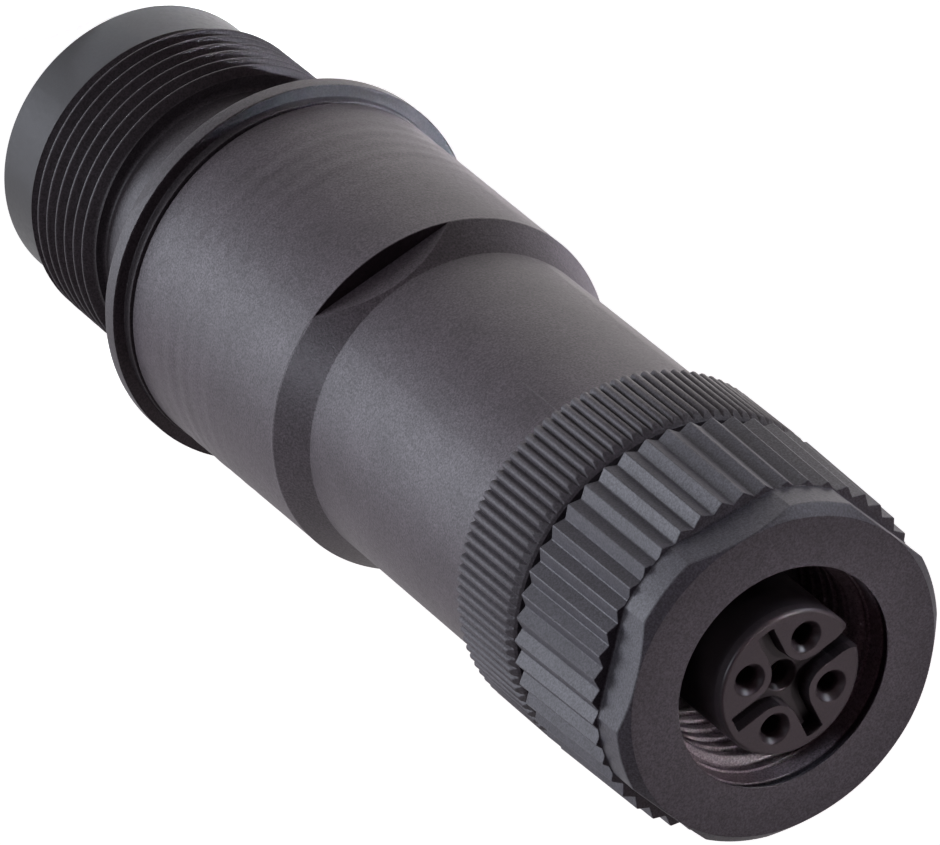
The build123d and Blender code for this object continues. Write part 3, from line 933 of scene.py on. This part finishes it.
def pale_floor():
    """A plain pale floor that shows white to the camera and keeps the object's soft shadow."""
    under = 0.02 * MM
    ray_levels = (("Is Camera Ray", 0.94), ("Is Glossy Ray", 0.45), ("Is Transmission Ray", 0.94))
    bpy.ops.mesh.primitive_plane_add(size=4.0, location=(0, 0, -under))
    floor = bpy.context.object
    floor.name = "floor"
    material, tree, shader = new_material("floor_paint")
    grain = noise(tree, tree.nodes.new("ShaderNodeTexCoord").outputs["Object"], 40.0, 2.0)
    tint = ramp(tree, grain.outputs["Fac"], ((0.4, 0.78), (0.6, 0.8)))
    tree.links.new(tint.outputs["Color"], shader.inputs["Base Color"])
    shader.inputs["Roughness"].default_value = 0.9
    glow = tree.nodes.new("ShaderNodeEmission")
    glow.inputs["Color"].default_value = (1.0, 1.0, 1.0, 1.0)
    rays = tree.nodes.new("ShaderNodeLightPath")
    total = None
    for ray, level in ray_levels:
        share = tree.nodes.new("ShaderNodeMath")
        share.operation = "MULTIPLY_ADD"
        share.inputs[1].default_value = level
        share.inputs[2].default_value = 0.0
        tree.links.new(rays.outputs[ray], share.inputs[0])
        if total:
            tree.links.new(total, share.inputs[2])
        total = share.outputs[0]
    tree.links.new(total, glow.inputs["Strength"])
    both = tree.nodes.new("ShaderNodeAddShader")
    tree.links.new(shader.outputs[0], both.inputs[0])
    tree.links.new(glow.outputs[0], both.inputs[1])
    tree.links.new(both.outputs[0], tree.nodes["Material Output"].inputs["Surface"])
    floor.data.materials.append(material)
    floor.visible_shadow = False


def soft_box(name, azimuth, elevation, distance, width, height, power, colour, aim=0.036, spread=180.0):
    """A lamp aimed at a height on the axis from an azimuth and elevation, in degrees, metres and watts."""
    lamp = bpy.data.lights.new(name, "AREA")
    lamp.shape = "RECTANGLE"
    lamp.size = width
    lamp.size_y = height
    lamp.energy = power
    lamp.color = colour
    lamp.spread = math.radians(spread)
    turn, rise = math.radians(azimuth), math.radians(elevation)
    towards = Vector((math.cos(turn) * math.cos(rise), math.sin(turn) * math.cos(rise), math.sin(rise)))
    holder = bpy.data.objects.new(name, lamp)
    holder.location = Vector((0, 0, aim)) + towards * distance
    holder.rotation_euler = (-towards).to_track_quat("-Z", "Y").to_euler()
    holder.visible_camera = False
    bpy.context.scene.collection.objects.link(holder)


def studio():
    """A room that is white to the camera, soft boxes round the object, and small lamps for glints."""
    world = bpy.data.worlds.new("pale_room")
    world.use_nodes = True
    tree = world.node_tree
    back = tree.nodes["Background"]
    place = tree.nodes.new("ShaderNodeTexCoord")
    parts = tree.nodes.new("ShaderNodeSeparateXYZ")
    tree.links.new(place.outputs["Generated"], parts.inputs[0])
    dim = (0.055, 0.030, 0.036)
    sky = ramp(tree, parts.outputs["Z"], ((0.0, 1.0), (0.03, 0.5), (0.08, dim), (1.0, dim)))
    rays = tree.nodes.new("ShaderNodeLightPath")
    seen = tree.nodes.new("ShaderNodeMix")
    seen.data_type = "RGBA"
    seen.inputs["B"].default_value = (1.0, 1.0, 1.0, 1.0)
    tree.links.new(rays.outputs["Is Camera Ray"], seen.inputs["Factor"])
    tree.links.new(sky.outputs["Color"], seen.inputs["A"])
    tree.links.new(seen.outputs["Result"], back.inputs["Color"])
    bpy.context.scene.world = world
    cool = (0.84, 0.88, 1.0)
    plain = (1.0, 0.95, 0.95)
    warm = (1.0, 0.88, 0.93)
    soft_box("left_box", 167.0, -50.0, 0.5, 0.35, 0.3, 2.9, plain)
    soft_box("right_box", -34.0, -47.0, 0.5, 0.25, 0.3, 2.4, cool)
    soft_box("back_box", 110.0, 50.0, 0.8, 0.6, 0.6, 0.7, warm)
    face = nut_top * MM
    thread_middle = (thread_low + thread_high) / 2 * MM
    soft_box("bore_beam", 172.0, 60.0, 0.3, 0.01, 0.01, 0.0005, warm, face, 4.5)
    soft_box("thread_beam", 172.0, 60.0, 0.3, 0.01, 0.01, 0.0024, cool, thread_middle, 4.5)
    soft_box("left_glint", -158.0, 12.0, 0.12, 0.05, 0.015, 0.0022, cool, face, 30.0)
    soft_box("right_glint", -38.0, 9.0, 0.5, 0.16, 0.08, 0.55, cool)


def camera():
    """The photograph's viewpoint: a long lens that looks down along the object, tilted on its side."""
    lens_pixels = 9000.0
    frame_pixels = 940.0
    sensor = 36.0
    place = (100.841, -284.337, 387.039)
    turns = (-28.6732, -30.1942, 156.8969)
    data = bpy.data.cameras.new("view")
    data.sensor_width = sensor
    data.lens = lens_pixels / frame_pixels * sensor
    data.clip_start = 0.01
    data.clip_end = 20.0
    viewer = bpy.data.objects.new("view", data)
    viewer.location = Vector(place) * MM
    viewer.rotation_euler = Euler([math.radians(turn) for turn in turns], "XYZ")
    bpy.context.scene.collection.objects.link(viewer)
    bpy.context.scene.camera = viewer


camera()
build_object()
pale_floor()
studio()

scene = bpy.context.scene
scene.view_settings.view_transform = "Standard"
